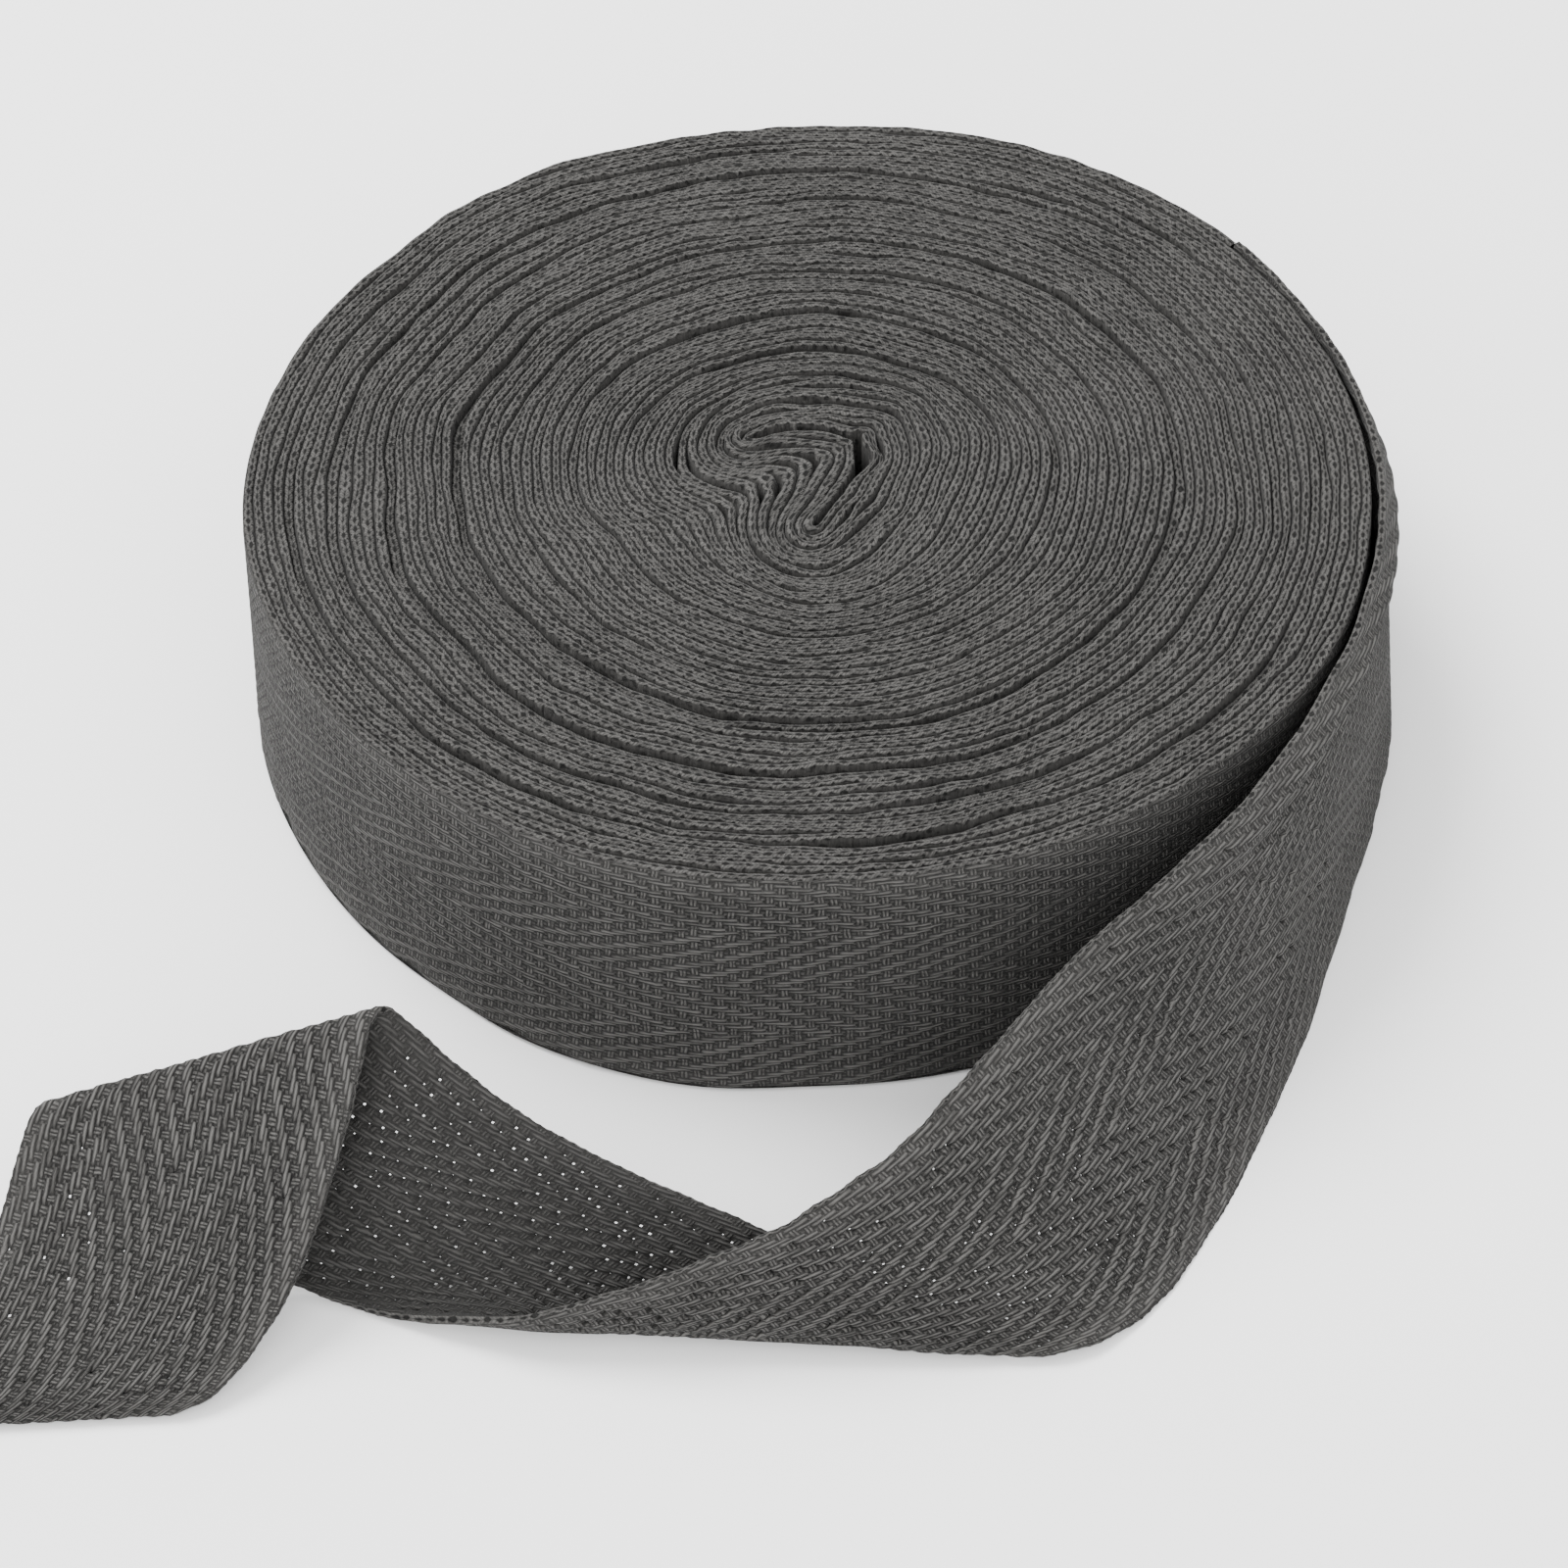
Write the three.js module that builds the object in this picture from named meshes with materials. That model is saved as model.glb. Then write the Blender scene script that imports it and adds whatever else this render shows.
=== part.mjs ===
// Roll of cotton twill tape lying on its flat side, with its loose end twisted out in front.
// Millimetres, +Z up, origin at the centre of the roll's bottom face.
import * as THREE from "three";

// Tape and roll
const TAPE_WIDTH = 25;
const SHEET_THICKNESS = 1;
const TURN_PITCH = 0.9;
const WALL_RADIUS = 50.6;
const STEP_ANGLE = 38;
const GAP = 0.45;
const RIM_BEVEL = 0.5;
const INNER_RING_INSET = 1.6;

// Charcoal cotton
const ROLL_COLOUR = 0x555452;
const LOOSE_COLOUR = 0x5c5b59;
const ROUGHNESS = 0.95;

// Mesh steps
const AROUND = 132;
const TRACE_STEP = 0.3;
const LEAST_STEPS = 20;
const MOST_STEPS = 3000;
const SPAN_STEPS = 6;
const ACROSS = 4;

// Crushed centre: the line that the innermost turn is pinched flat along
const PINCH_LINE = [
  { x: -6.9, y: 3.7 },
  { x: -4.6, y: 5.1 },
  { x: -1.0, y: 5.1 },
  { x: 2.2, y: 4.3 },
  { x: 3.2, y: 1.8 },
  { x: 2.2, y: -3.0 },
  { x: 0.6, y: -7.2 },
];
const PINCH_ROUNDING = 7;
const PINCH_DEPTH = 4;
const CENTRE_SINK = 1.2;
const CENTRE_SINK_REACH = 9;
const FIRST_TURN = 0.9;
const FIRST_TURN_SINK = 0.3;
const BED_STEP = 1.2;
const RAY_START = { x: 2.5, y: 3.9 };

// Main grooves between turns, by distance along the step ray, with the arc where they are deep
const GROOVES = [
  { at: 4.0, depth: 1.4, middle: 205, spread: 80 },
  { at: 7.5, depth: 1.2, middle: 210, spread: 70 },
  { at: 12.0, depth: 1.0, middle: 85, spread: 60 },
  { at: 17.5, depth: 1.2, middle: 90, spread: 75 },
  { at: 23.5, depth: 0.9, middle: 120, spread: 110 },
  { at: 28.5, depth: 2.0, middle: 255, spread: 120 },
  { at: 34.5, depth: 1.3, middle: 250, spread: 110 },
  { at: 39.0, depth: 1.0, middle: 180, spread: 150 },
  { at: 42.5, depth: 1.0, middle: 240, spread: 120 },
];
const GROOVE_HALF_WIDTH = 0.6;
const GROOVE_FLOOR = 0.25;

// Loose end: its two selvedges, upper and lower where it leaves the roll
const WRAP_ANGLES = [49.5, 37.5, 25.5, 13.5];
const WRAP_RADIUS = WALL_RADIUS + GAP + SHEET_THICKNESS / 2;
const LOOSE_END = table(
  ["place", "ux", "uy", "uz", "lx", "ly", "lz"],
  [
    ["leave", 51.9, 1.5, 25.0, 52.0, 2.0, 0.0],
    ["stand_1", 51.4, -9.0, 25.0, 53.0, -7.5, 0.0],
    ["stand_2", 48.3, -19.0, 25.0, 51.6, -16.5, 0.0],
    ["stand_3", 43.7, -29.5, 25.0, 48.9, -26.0, 0.0],
    ["lean_1", 38.3, -39.0, 24.5, 45.5, -36.0, 0.0],
    ["lean_2", 31.5, -47.0, 23.5, 41.7, -46.5, 0.0],
    ["lean_3", 24.3, -53.0, 21.5, 37.3, -56.5, 0.0],
    ["lean_4", 16.7, -60.0, 19.5, 32.7, -66.5, 0.0],
    ["dive_1", 7.5, -71.5, 16.2, 28.0, -74.5, 0.0],
    ["dive_2", -3.0, -77.5, 12.0, 23.5, -80.0, 0.5],
    ["under_1", -15.5, -79.5, 7.5, 18.5, -82.3, 1.0],
    ["under_2", -26.5, -80.0, 3.5, 14.5, -82.3, 0.7],
    ["under_3", -35.0, -77.2, 0.9, 10.5, -80.0, 1.0],
    ["rise_1", -41.0, -74.8, 0.5, 5.0, -76.5, 2.6],
    ["rise_2", -46.0, -72.7, 1.2, -2.0, -73.7, 4.5],
    ["rise_3", -51.0, -71.0, 4.0, -9.5, -70.8, 6.3],
    ["rise_4", -56.0, -69.0, 8.0, -18.0, -68.2, 9.0],
    ["rise_5", -60.5, -67.0, 11.5, -26.0, -65.2, 13.0],
    ["rise_6", -64.0, -65.6, 14.3, -33.0, -61.0, 17.5],
    ["over", -66.5, -65.2, 15.8, -36.8, -58.0, 19.6],
    ["fall_1", -68.0, -67.0, 13.3, -38.2, -60.2, 17.4],
    ["fall_2", -69.2, -71.0, 9.3, -40.0, -68.0, 12.3],
    ["fall_3", -71.3, -76.5, 5.5, -44.0, -76.5, 6.5],
    ["curl_1", -76.0, -83.5, 2.7, -49.0, -82.5, 1.8],
    ["curl_2", -80.5, -86.8, 0.5, -54.0, -85.8, 0.5],
    ["curl_3", -86.0, -84.0, 0.5, -59.5, -82.3, 0.5],
    ["end", -91.5, -78.5, 1.3, -65.0, -76.8, 0.8],
  ],
);

function table(columns, rows) {
  return rows.map((row) => Object.fromEntries(columns.map((name, i) => [name, row[i]])));
}

function polar(radius, degrees) {
  const angle = THREE.MathUtils.degToRad(degrees);
  return { x: radius * Math.cos(angle), y: radius * Math.sin(angle) };
}

// The wall grows by one pitch in a turn, clockwise from the step
function wallRadius(degrees) {
  const behind = (((STEP_ANGLE - degrees) % 360) + 360) % 360;
  return WALL_RADIUS + (TURN_PITCH * behind) / 360;
}

function distanceToPiece(p, a, b) {
  const along = { x: b.x - a.x, y: b.y - a.y };
  const share = ((p.x - a.x) * along.x + (p.y - a.y) * along.y) / (along.x ** 2 + along.y ** 2);
  const t = Math.min(1, Math.max(0, share));
  return Math.hypot(p.x - a.x - t * along.x, p.y - a.y - t * along.y);
}

function pinchDistance(p) {
  let sum = 0;
  for (let i = 1; i < PINCH_LINE.length; i += 1) {
    const d = Math.max(distanceToPiece(p, PINCH_LINE[i - 1], PINCH_LINE[i]), 1e-3);
    sum += d ** -PINCH_ROUNDING;
  }
  return sum ** (-1 / PINCH_ROUNDING);
}

// Zero on the pinch line and one on the wall: a turn of the tape follows a line of equal level
function level(p) {
  const inside = pinchDistance(p);
  return inside / (inside + Math.max(WALL_RADIUS - Math.hypot(p.x, p.y), 0));
}

function levelSlope(p) {
  const h = 1e-3;
  return {
    x: (level({ x: p.x + h, y: p.y }) - level({ x: p.x - h, y: p.y })) / (2 * h),
    y: (level({ x: p.x, y: p.y + h }) - level({ x: p.x, y: p.y - h })) / (2 * h),
  };
}

// One closed turn through the start point, walked clockwise and set out again in even steps
function traceTurn(start) {
  const wanted = level(start);
  const walked = [start];
  let p = start;
  while (walked.length < MOST_STEPS) {
    const slope = levelSlope(p);
    const size = Math.hypot(slope.x, slope.y);
    const next = { x: p.x + (TRACE_STEP * slope.y) / size, y: p.y - (TRACE_STEP * slope.x) / size };
    for (let pass = 0; pass < 2; pass += 1) {
      const s = levelSlope(next);
      const off = (level(next) - wanted) / (s.x ** 2 + s.y ** 2);
      next.x -= off * s.x;
      next.y -= off * s.y;
    }
    const home = Math.hypot(next.x - start.x, next.y - start.y);
    if (walked.length > LEAST_STEPS && home < TRACE_STEP) break;
    walked.push(next);
    p = next;
  }
  walked.push(start);
  return evenSteps(walked, AROUND);
}

function evenSteps(points, count) {
  const reach = [0];
  for (let i = 1; i < points.length; i += 1) {
    const step = Math.hypot(points[i].x - points[i - 1].x, points[i].y - points[i - 1].y);
    reach.push(reach[i - 1] + step);
  }
  const total = reach[reach.length - 1];
  const out = [];
  let i = 1;
  for (let j = 0; j < count; j += 1) {
    const want = (total * j) / count;
    while (reach[i] < want) i += 1;
    const t = (want - reach[i - 1]) / (reach[i] - reach[i - 1] || 1);
    const a = points[i - 1];
    const b = points[i];
    out.push({ x: a.x + t * (b.x - a.x), y: a.y + t * (b.y - a.y) });
  }
  return out;
}

function grooveShare(groove, p) {
  const degrees = THREE.MathUtils.radToDeg(Math.atan2(p.y, p.x));
  const off = Math.abs(((((degrees - groove.middle) % 360) + 540) % 360) - 180);
  return GROOVE_FLOOR + (1 - GROOVE_FLOOR) * Math.exp(-((off / groove.spread) ** 2));
}

function sinkAt(p) {
  return CENTRE_SINK * Math.exp(-((pinchDistance(p) / CENTRE_SINK_REACH) ** 2));
}

// Where each ring of the top face starts on the step ray, and how deep it lies
function topRings() {
  const rings = [{ at: FIRST_TURN, depth: FIRST_TURN_SINK }];
  let last = FIRST_TURN;
  for (const groove of GROOVES) {
    const halfway = (last + groove.at) / 2;
    rings.push({ at: halfway, depth: 0 });
    rings.push({ at: groove.at - GROOVE_HALF_WIDTH, depth: 0 });
    rings.push({ at: groove.at, depth: groove.depth, groove });
    rings.push({ at: groove.at + GROOVE_HALF_WIDTH, depth: 0 });
    last = groove.at + GROOVE_HALF_WIDTH;
  }
  return rings;
}

// The step ray starts on the pinch line, so that every ring crosses it once
function rayPoint(distance) {
  const from = RAY_START;
  const to = polar(WALL_RADIUS, STEP_ANGLE);
  const length = Math.hypot(to.x - from.x, to.y - from.y);
  const t = distance / length;
  return { x: from.x + t * (to.x - from.x), y: from.y + t * (to.y - from.y) };
}

// Points in even steps along the pinch line, for the floor of the slit
function pinchBed() {
  const bed = [];
  for (let i = 1; i < PINCH_LINE.length; i += 1) {
    const a = PINCH_LINE[i - 1];
    const b = PINCH_LINE[i];
    const steps = Math.round(Math.hypot(b.x - a.x, b.y - a.y) / BED_STEP);
    for (let k = i === 1 ? 0 : 1; k <= steps; k += 1) {
      const t = k / steps;
      bed.push({ x: a.x + t * (b.x - a.x), y: a.y + t * (b.y - a.y) });
    }
  }
  return bed;
}

function nearestIndex(p, points) {
  let best = 0;
  points.forEach((q, i) => {
    const here = Math.hypot(p.x - q.x, p.y - q.y);
    if (here < Math.hypot(p.x - points[best].x, p.y - points[best].y)) best = i;
  });
  return best;
}

class Body {
  constructor() {
    this.points = [];
    this.faces = [];
  }

  add(x, y, z) {
    this.points.push(x, y, z);
    return this.points.length / 3 - 1;
  }

  face(a, b, c) {
    this.faces.push(a, b, c);
  }

  quad(a, b, c, d) {
    this.face(a, b, c);
    this.face(a, c, d);
  }

  mesh(name, colour) {
    const geometry = new THREE.BufferGeometry();
    geometry.setAttribute("position", new THREE.Float32BufferAttribute(this.points, 3));
    geometry.setIndex(this.faces);
    geometry.computeVertexNormals();
    const cloth = new THREE.MeshStandardMaterial({ color: colour, roughness: ROUGHNESS });
    const mesh = new THREE.Mesh(geometry, cloth);
    mesh.name = name;
    return mesh;
  }
}

function woundRoll() {
  const body = new Body();
  const plan = topRings();
  const turns = plan.map((ring) => traceTurn(rayPoint(ring.at)));
  const rings = plan.map((ring, k) =>
    turns[k].map((p) => {
      const deep = ring.groove ? ring.depth * grooveShare(ring.groove, p) : ring.depth;
      return body.add(p.x, p.y, TAPE_WIDTH - sinkAt(p) - deep);
    }),
  );
  closeSlit(body, turns[0], rings[0]);
  const innerRing = (z) =>
    Array.from({ length: AROUND }, (_, j) => {
      const p = polar(WALL_RADIUS - INNER_RING_INSET, STEP_ANGLE - (360 * j) / AROUND);
      return body.add(p.x, p.y, z);
    });
  rings.push(innerRing(TAPE_WIDTH));
  for (let k = 1; k < rings.length; k += 1) {
    for (let j = 0; j < AROUND; j += 1) {
      const n = (j + 1) % AROUND;
      body.quad(rings[k - 1][j], rings[k - 1][n], rings[k][n], rings[k][j]);
    }
  }
  const bottomRing = innerRing(0);
  const hub = body.add(0, 0, 0);
  for (let j = 0; j < AROUND; j += 1) body.face(hub, bottomRing[j], bottomRing[(j + 1) % AROUND]);
  const shell = [
    { inset: RIM_BEVEL, z: TAPE_WIDTH },
    { inset: 0, z: TAPE_WIDTH - RIM_BEVEL },
    { inset: 0, z: RIM_BEVEL },
    { inset: RIM_BEVEL, z: 0 },
  ].map((band) =>
    Array.from({ length: AROUND + 1 }, (_, j) => {
      const degrees = STEP_ANGLE - (360 * j) / AROUND;
      const grown = WALL_RADIUS + (TURN_PITCH * j) / AROUND;
      const p = polar(grown - band.inset, degrees);
      return body.add(p.x, p.y, band.z);
    }),
  );
  const last = AROUND - 1;
  const joinFlat = (inner, outer, up) => {
    const put = (a, b, c) => (up ? body.face(a, b, c) : body.face(a, c, b));
    for (let j = 0; j < last; j += 1) {
      put(inner[j], inner[j + 1], outer[j + 1]);
      put(inner[j], outer[j + 1], outer[j]);
    }
    put(inner[last], inner[0], outer[0]);
    put(inner[last], outer[0], outer[AROUND]);
    put(inner[last], outer[AROUND], outer[last]);
  };
  joinFlat(rings[rings.length - 1], shell[0], true);
  joinFlat(bottomRing, shell[3], false);
  for (let k = 1; k < shell.length; k += 1) {
    for (let j = 0; j < AROUND; j += 1) {
      body.quad(shell[k - 1][j], shell[k - 1][j + 1], shell[k][j + 1], shell[k][j]);
    }
    body.quad(shell[k - 1][AROUND], shell[k - 1][0], shell[k][0], shell[k][AROUND]);
  }
  return body.mesh("wound_roll", ROLL_COLOUR);
}

// The pinched slit: the first turn's two sides run down to one row of points along the pinch line
function closeSlit(body, turn, ring) {
  const bed = pinchBed();
  const floor = bed.map((p) => body.add(p.x, p.y, TAPE_WIDTH - sinkAt(p) - PINCH_DEPTH));
  const under = turn.map((p) => nearestIndex(p, bed));
  for (let j = 0; j < ring.length; j += 1) {
    const n = (j + 1) % ring.length;
    body.face(ring[n], ring[j], floor[under[j]]);
    const way = Math.sign(under[n] - under[j]);
    for (let b = under[j]; b !== under[n]; b += way) body.face(ring[n], floor[b], floor[b + way]);
  }
}

// Weights of the smooth curve that four rows in turn pull on
function pullWeights(t) {
  return [
    (1 - t) ** 3 / 6,
    (3 * t ** 3 - 6 * t ** 2 + 4) / 6,
    (-3 * t ** 3 + 3 * t ** 2 + 3 * t + 1) / 6,
    t ** 3 / 6,
  ];
}

function smoothRow(rows) {
  const last = rows.length - 1;
  const beyond = rows[last].clone().multiplyScalar(2).sub(rows[last - 1]);
  const held = [...rows, beyond];
  const out = [];
  for (let i = 0; i + 3 < held.length; i += 1) {
    const steps = i + 4 < held.length ? SPAN_STEPS : SPAN_STEPS + 1;
    for (let k = 0; k < steps; k += 1) {
      const p = new THREE.Vector3();
      pullWeights(k / SPAN_STEPS).forEach((w, n) => p.addScaledVector(held[i + n], w));
      out.push(p);
    }
  }
  return out;
}

function wrapRows(z) {
  const step = THREE.MathUtils.degToRad(WRAP_ANGLES[0] - WRAP_ANGLES[1]);
  const outwards = (3 * WRAP_RADIUS) / (2 + Math.cos(step));
  return WRAP_ANGLES.map((degrees) => {
    const p = polar(outwards, degrees);
    return new THREE.Vector3(p.x, p.y, z);
  });
}

function looseEnd() {
  const upper = LOOSE_END.map((row) => new THREE.Vector3(row.ux, row.uy, row.uz));
  const lower = LOOSE_END.map((row) => new THREE.Vector3(row.lx, row.ly, row.lz));
  const u = smoothRow([...wrapRows(TAPE_WIDTH), ...upper]);
  const l = smoothRow([...wrapRows(0), ...lower]);
  const grid = u.map((p, i) =>
    Array.from({ length: ACROSS + 1 }, (_, k) => p.clone().lerp(l[i], k / ACROSS)),
  );
  const body = new Body();
  const sides = [1, -1].map((side) =>
    grid.map((row, i) =>
      row.map((p, k) => {
        const along = grid[Math.min(i + 1, grid.length - 1)][k].clone().sub(grid[Math.max(i - 1, 0)][k]);
        const across = row[Math.min(k + 1, ACROSS)].clone().sub(row[Math.max(k - 1, 0)]);
        const outwards = across.cross(along).normalize();
        const q = p.clone().addScaledVector(outwards, (side * SHEET_THICKNESS) / 2);
        return body.add(q.x, q.y, Math.max(q.z, 0));
      }),
    ),
  );
  const [outer, inner] = sides;
  for (let i = 1; i < grid.length; i += 1) {
    for (let k = 1; k <= ACROSS; k += 1) {
      body.quad(outer[i - 1][k - 1], outer[i - 1][k], outer[i][k], outer[i][k - 1]);
      body.quad(inner[i - 1][k - 1], inner[i][k - 1], inner[i][k], inner[i - 1][k]);
    }
    body.quad(outer[i - 1][0], outer[i][0], inner[i][0], inner[i - 1][0]);
    body.quad(outer[i - 1][ACROSS], inner[i - 1][ACROSS], inner[i][ACROSS], outer[i][ACROSS]);
  }
  const end = grid.length - 1;
  for (let k = 1; k <= ACROSS; k += 1) {
    body.quad(outer[0][k - 1], inner[0][k - 1], inner[0][k], outer[0][k]);
    body.quad(outer[end][k - 1], outer[end][k], inner[end][k], inner[end][k - 1]);
  }
  return body.mesh("loose_end", LOOSE_COLOUR);
}

const part = new THREE.Group();
part.name = "twill_tape_roll";
part.add(woundRoll());
part.add(looseEnd());
export default part;
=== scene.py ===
import math

import bpy
import numpy as np
from mathutils import Matrix


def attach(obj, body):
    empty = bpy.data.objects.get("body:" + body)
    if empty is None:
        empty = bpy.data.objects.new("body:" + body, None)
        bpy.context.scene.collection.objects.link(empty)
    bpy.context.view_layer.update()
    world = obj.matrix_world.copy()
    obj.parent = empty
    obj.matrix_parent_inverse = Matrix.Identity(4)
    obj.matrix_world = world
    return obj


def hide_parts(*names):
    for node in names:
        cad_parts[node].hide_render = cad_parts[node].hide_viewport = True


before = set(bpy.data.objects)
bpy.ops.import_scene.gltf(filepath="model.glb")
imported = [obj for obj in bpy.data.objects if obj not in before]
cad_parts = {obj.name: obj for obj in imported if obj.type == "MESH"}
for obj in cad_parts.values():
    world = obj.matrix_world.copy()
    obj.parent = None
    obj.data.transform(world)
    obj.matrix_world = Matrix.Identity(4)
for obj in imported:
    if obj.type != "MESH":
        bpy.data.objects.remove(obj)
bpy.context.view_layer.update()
MM = 0.001

# Tape and roll, as in the part's source
TAPE_WIDTH = 25.0
SHEET_THICKNESS = 1.0
TURN_PITCH = 0.9
WALL_RADIUS = 50.6
STEP_ANGLE = 38.0
GAP = 0.45
PINCH_LINE = np.array(
    [(-6.9, 3.7), (-4.6, 5.1), (-1.0, 5.1), (2.2, 4.3), (3.2, 1.8), (2.2, -3.0), (0.6, -7.2)]
)
PINCH_ROUNDING = 7
RAY_START = np.array((2.5, 3.9))
CENTRE_SINK = 1.2
CENTRE_SINK_REACH = 9.0
GROOVES = [
    {"at": 4.0, "depth": 1.4, "middle": 205, "spread": 80},
    {"at": 7.5, "depth": 1.2, "middle": 210, "spread": 70},
    {"at": 12.0, "depth": 1.0, "middle": 85, "spread": 60},
    {"at": 17.5, "depth": 1.2, "middle": 90, "spread": 75},
    {"at": 23.5, "depth": 0.9, "middle": 120, "spread": 110},
    {"at": 28.5, "depth": 2.0, "middle": 255, "spread": 120},
    {"at": 34.5, "depth": 1.3, "middle": 250, "spread": 110},
    {"at": 39.0, "depth": 1.0, "middle": 180, "spread": 150},
    {"at": 42.5, "depth": 1.0, "middle": 240, "spread": 120},
]
GROOVE_FLOOR = 0.25
WRAP_ANGLES = [49.5, 37.5, 25.5, 13.5]
WRAP_RADIUS = WALL_RADIUS + GAP + SHEET_THICKNESS / 2

# Loose end's upper and lower selvedge: ux, uy, uz, lx, ly, lz.
# Some rows lie up to 1.9 mm from the part's own, where the photograph asks for it.
LOOSE_END = [
    (51.9, 1.5, 25.0, 52.0, 2.0, 0.0),
    (51.4, -9.0, 25.0, 52.6, -7.5, 0.0),
    (48.3, -19.0, 25.0, 50.8, -16.4, 0.0),
    (43.7, -29.5, 25.0, 48.0, -25.8, 0.0),
    (38.3, -39.0, 24.5, 44.7, -35.8, 0.0),
    (31.5, -47.0, 23.5, 41.3, -46.3, 0.0),
    (24.3, -53.0, 21.5, 37.3, -56.5, 0.0),
    (16.7, -60.0, 19.5, 32.7, -66.5, 0.0),
    (7.5, -71.5, 16.2, 28.0, -74.5, 0.0),
    (-3.0, -77.5, 12.0, 23.5, -80.0, 0.5),
    (-15.5, -79.5, 7.5, 18.5, -82.3, 1.0),
    (-26.5, -80.0, 3.5, 14.5, -82.3, 0.7),
    (-35.0, -77.2, 0.9, 10.5, -80.0, 1.0),
    (-41.0, -74.8, 0.5, 5.0, -76.5, 2.6),
    (-46.0, -72.7, 1.2, -2.0, -73.7, 4.5),
    (-51.0, -71.0, 4.0, -9.5, -70.8, 6.3),
    (-56.0, -69.0, 8.0, -18.0, -68.2, 9.0),
    (-60.5, -67.0, 11.2, -26.0, -64.9, 12.2),
    (-63.2, -65.4, 13.4, -33.0, -60.7, 16.0),
    (-65.0, -65.0, 15.9, -36.8, -57.8, 19.7),
    (-66.5, -67.3, 13.9, -38.2, -61.1, 19.0),
    (-67.8, -71.4, 9.7, -40.0, -68.7, 13.4),
    (-70.3, -76.7, 5.5, -43.8, -76.7, 6.5),
    (-75.4, -84.2, 2.7, -48.7, -83.2, 1.8),
    (-80.3, -87.9, 0.5, -53.8, -87.0, 0.5),
    (-86.0, -84.9, 0.5, -59.5, -83.2, 0.5),
    (-91.5, -78.5, 1.3, -65.0, -76.8, 0.8),
]

# Weave: ends run along the tape, picks across it, two over and two under, the twill turned every band
ENDS = 65
PICK = 1.06
BAND_ENDS = 16
PICK_STEPS = 3
CLOTH_THICKNESS = 0.84
WARP_RISE = 0.06
WEFT_DIP = 0.07
FLAT_SHARE = 0.3
DOME_SHARE = 0.7
# The back's cloth coordinates are moved on by this many ends, which tells it from the face
BACK_ENDS = 128

# Wound turns. The first ones lie tight, and step over the tape's start in a short share of a turn
TURNS = 51
FIRST_TURN = 0.06
STEP_SHARE = 0.05
SETTLED_TURNS = 8
AROUND = 720
WALK_STEP = 0.25
MOST_WALK = 1600
LEAST_WALK = 20
EDGE_STEPS = 4
BOTTOM_STEPS = 2
GROOVE_REACH = 0.55
GROOVE_SHARE = 0.6
TOP_DROP = 0.12
BOTTOM_LIFT = 0.14
ROPES_REACH = 11

# Stitched edge across a turn, from its inner side to its outer one, and how far it lies below the top
CROSS = np.array([-1, -0.8, -0.42, 0, 0.42, 0.8, 1])
CROSS_DROP = np.array([0, 0.20, 0.03, 0.02, 0.03, 0.20, 0])
BOTTOM_CROSS = np.array([-1, -0.75, 0, 0.75, 1])
BOTTOM_DROP = np.array([0, 0.15, 0, 0.15, 0])
SHOULDERS = (0.6, 0.99)
SHOULDER_SCALLOP = 0.010
STITCH_HOLE = 0.12
STITCH_LEG = 0.42
LEG_RISE = 0.02
GAP_DEPTH = 0.5
SLIT_DEPTH = 9.0
RIM_DROP = 0.24
WALL_EDGE_DROP = 0.14
NEXT_END_DROP = 0.04

# The hole in the crushed centre, which opens more to its right
SLIT_HOLE = {"x": 3.9, "y": 3.7, "reach": 1.9, "opening": 0.70, "right": 0.3, "fade": 3.0}
# The crushed centre leans back and to the side of the part's own pinch
LEAN = {"x": 0.55, "x_by_y": 0.19, "y": 2.0, "y_by_x": -0.09, "y_by_y": 0.05, "reach": 15.0}
# Crescent gaps where the crushed turns stand apart: place, half length and opening
CRESCENTS = [
    {"x": -4.0, "y": 6.6, "reach": 2.4, "opening": 0.25},
    {"x": 6.2, "y": 5.2, "reach": 0.9, "opening": 0.25},
    {"x": 0.6, "y": 2.9, "reach": 1.6, "opening": 0.22},
    {"x": -1.2, "y": 3.6, "reach": 1.4, "opening": 0.30},
    {"x": -2.8, "y": 2.6, "reach": 1.1, "opening": 0.42},
    {"x": -4.0, "y": -0.4, "reach": 1.1, "opening": 0.45},
    {"x": -4.7, "y": -1.7, "reach": 0.9, "opening": 0.45},
    {"x": -7.8, "y": -1.6, "reach": 1.4, "opening": 0.42},
    {"x": -9.2, "y": -4.1, "reach": 0.9, "opening": 0.28},
    {"x": -0.2, "y": -4.9, "reach": 1.9, "opening": 0.32},
    {"x": 2.9, "y": -4.6, "reach": 1.4, "opening": 0.20},
    {"x": 4.3, "y": -2.9, "reach": 1.5, "opening": 0.20},
    {"x": -11.8, "y": 3.0, "reach": 1.8, "opening": 0.22},
    {"x": -13.3, "y": 4.4, "reach": 1.8, "opening": 0.18},
]
CRESCENT_DEPTH = 2.5
CRESCENT_FADE = 1.6
CRESCENT_LINE = 0.05
CRESCENT_WIDTH = 0.04
CRESCENT_LIMIT = 6.0

# Winding out of true: a kink at the left, and shifts of all the turns
KINK = {"at": -157, "reach": 8.0, "radius": 21, "width": 12, "depth": 0.6}
SHIFT = {"wavelength": 17, "most": 0.28, "wall_fade": 9, "centre_fade": 6}
# Where the outer turns stand out, by angle, at the top and at the floor
WALL_SPREAD = [
    {"at": -125, "reach": 75, "top": 0.1, "bottom": 1.2},
    {"at": -111, "reach": 15, "top": 0.0, "bottom": 1.0},
    {"at": 172, "reach": 25, "top": 0.45, "bottom": 0.5},
    {"at": 124, "reach": 13, "top": 1.1, "bottom": 1.1},
    {"at": 8, "reach": 30, "top": -1.0, "bottom": 0.0},
]
SPREAD_FROM = {"top": 34.0, "bottom": 22.0}

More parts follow.
